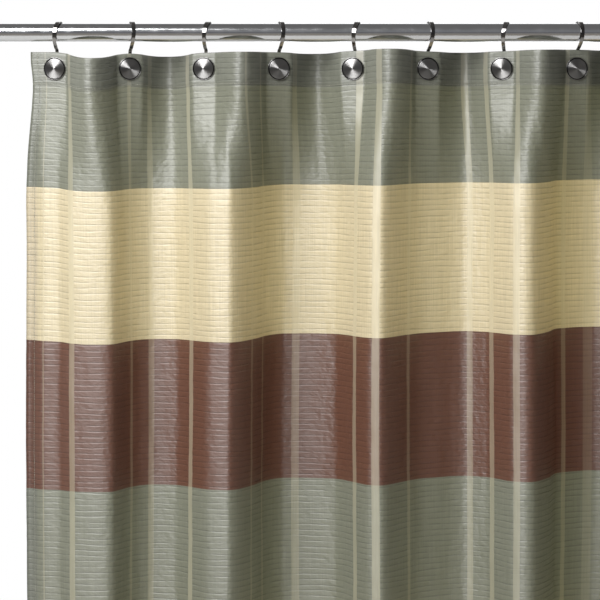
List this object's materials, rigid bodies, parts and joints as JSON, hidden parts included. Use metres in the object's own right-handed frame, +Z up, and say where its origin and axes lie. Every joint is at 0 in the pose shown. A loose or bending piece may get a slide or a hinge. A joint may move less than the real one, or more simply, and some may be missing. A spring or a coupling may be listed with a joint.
{
  "type": "shower curtain",
  "caption": "Woven fabric shower curtain in wide colour bands, hung in soft folds from a telescopic tension rod by polished steel hooks with turned disc ends.",
  "frame": {"origin": "centre of the left wall pad's wall face, on the rod's axis", "axes": "+X along the rod to the right, +Z up, -Y towards the viewer, in front of the curtain"},
  "size_m": [1.524, 0.098, 1.8493],
  "materials": {
    "polished_steel": "mirror polished steel",
    "turned_steel": "turned steel with fine circular lines",
    "woven_cloth": "ribbed weave in sage, cream and brown bands with smooth satin stripes",
    "pad_rubber": "moulded, matt",
    "lock_nylon": "moulded nylon"
  },
  "bodies": {
    "rod": {"rod_outer_tube": "polished_steel", "left_wall_pad": "pad_rubber", "step_collar": "lock_nylon"},
    "rod_inner": {"rod_inner_tube": "polished_steel", "lock_plug": "lock_nylon", "lock_insert": "lock_nylon", "lock_screw": "turned_steel", "spring_stop": "lock_nylon", "tension_spring": "turned_steel"},
    "rod_end": {"end_plunger": "lock_nylon", "right_wall_pad": "pad_rubber"},
    "curtain": {"curtain_cloth": "woven_cloth", "hook_01_strip": "polished_steel", "hook_01_disc": "turned_steel", "hook_01_stud": "turned_steel"},
    "hook_02": {"hook_02_strip": "polished_steel", "hook_02_disc": "turned_steel", "hook_02_stud": "turned_steel"},
    "hook_03": {"hook_03_strip": "polished_steel", "hook_03_disc": "turned_steel", "hook_03_stud": "turned_steel"},
    "hook_04": {"hook_04_strip": "polished_steel", "hook_04_disc": "turned_steel", "hook_04_stud": "turned_steel"},
    "hook_05": {"hook_05_strip": "polished_steel", "hook_05_disc": "turned_steel", "hook_05_stud": "turned_steel"},
    "hook_06": {"hook_06_strip": "polished_steel", "hook_06_disc": "turned_steel", "hook_06_stud": "turned_steel"},
    "hook_07": {"hook_07_strip": "polished_steel", "hook_07_disc": "turned_steel", "hook_07_stud": "turned_steel"},
    "hook_08": {"hook_08_strip": "polished_steel", "hook_08_disc": "turned_steel", "hook_08_stud": "turned_steel"},
    "hook_09": {"hook_09_strip": "polished_steel", "hook_09_disc": "turned_steel", "hook_09_stud": "turned_steel"},
    "hook_10": {"hook_10_strip": "polished_steel", "hook_10_disc": "turned_steel", "hook_10_stud": "turned_steel"},
    "hook_11": {"hook_11_strip": "polished_steel", "hook_11_disc": "turned_steel", "hook_11_stud": "turned_steel"},
    "hook_12": {"hook_12_strip": "polished_steel", "hook_12_disc": "turned_steel", "hook_12_stud": "turned_steel"}
  },
  "joints": [
    {"name": "rod_extend", "type": "slide", "parent": "rod", "child": "rod_inner", "axis": [1, 0, 0], "range_m": [-0.025, 0.6]},
    {"name": "pad_press", "type": "slide", "parent": "rod_inner", "child": "rod_end", "axis": [1, 0, 0], "range_m": [-0.01, 0], "stiffness_N_per_m": 3000, "springref_m": 0.003, "deforming": ["tension_spring"]},
    {"name": "swing", "type": "hinge", "parent": "rod", "child": "curtain", "pos_m": [0, 0, 0], "axis": [1, 0, 0], "range_deg": [-20, 20]},
    {"name": "draw", "type": "slide", "parent": "curtain", "child": "hook_12", "axis": [1, 0, 0], "range_m": [-0.6127, 0], "deforming": ["curtain_cloth"]},
    {"name": "draw_hook_02", "type": "slide", "parent": "curtain", "child": "hook_02", "axis": [1, 0, 0], "range_m": [-0.0562, 0.0005]},
    {"name": "draw_hook_03", "type": "slide", "parent": "curtain", "child": "hook_03", "axis": [1, 0, 0], "range_m": [-0.1119, 0.0005]},
    {"name": "draw_hook_04", "type": "slide", "parent": "curtain", "child": "hook_04", "axis": [1, 0, 0], "range_m": [-0.1676, 0.0005]},
    {"name": "draw_hook_05", "type": "slide", "parent": "curtain", "child": "hook_05", "axis": [1, 0, 0], "range_m": [-0.2233, 0.0005]},
    {"name": "draw_hook_06", "type": "slide", "parent": "curtain", "child": "hook_06", "axis": [1, 0, 0], "range_m": [-0.279, 0.0005]},
    {"name": "draw_hook_07", "type": "slide", "parent": "curtain", "child": "hook_07", "axis": [1, 0, 0], "range_m": [-0.3347, 0.0005]},
    {"name": "draw_hook_08", "type": "slide", "parent": "curtain", "child": "hook_08", "axis": [1, 0, 0], "range_m": [-0.3904, 0.0005]},
    {"name": "draw_hook_09", "type": "slide", "parent": "curtain", "child": "hook_09", "axis": [1, 0, 0], "range_m": [-0.4461, 0.0005]},
    {"name": "draw_hook_10", "type": "slide", "parent": "curtain", "child": "hook_10", "axis": [1, 0, 0], "range_m": [-0.5018, 0.0005]},
    {"name": "draw_hook_11", "type": "slide", "parent": "curtain", "child": "hook_11", "axis": [1, 0, 0], "range_m": [-0.5575, 0.0005]}
  ],
  "couplings": [
    {"joint": "draw_hook_02", "follows": "draw", "ratio": 0.090909},
    {"joint": "draw_hook_03", "follows": "draw", "ratio": 0.18182},
    {"joint": "draw_hook_04", "follows": "draw", "ratio": 0.27273},
    {"joint": "draw_hook_05", "follows": "draw", "ratio": 0.36364},
    {"joint": "draw_hook_06", "follows": "draw", "ratio": 0.45454},
    {"joint": "draw_hook_07", "follows": "draw", "ratio": 0.54546},
    {"joint": "draw_hook_08", "follows": "draw", "ratio": 0.63636},
    {"joint": "draw_hook_09", "follows": "draw", "ratio": 0.72727},
    {"joint": "draw_hook_10", "follows": "draw", "ratio": 0.81818},
    {"joint": "draw_hook_11", "follows": "draw", "ratio": 0.90909}
  ]
}
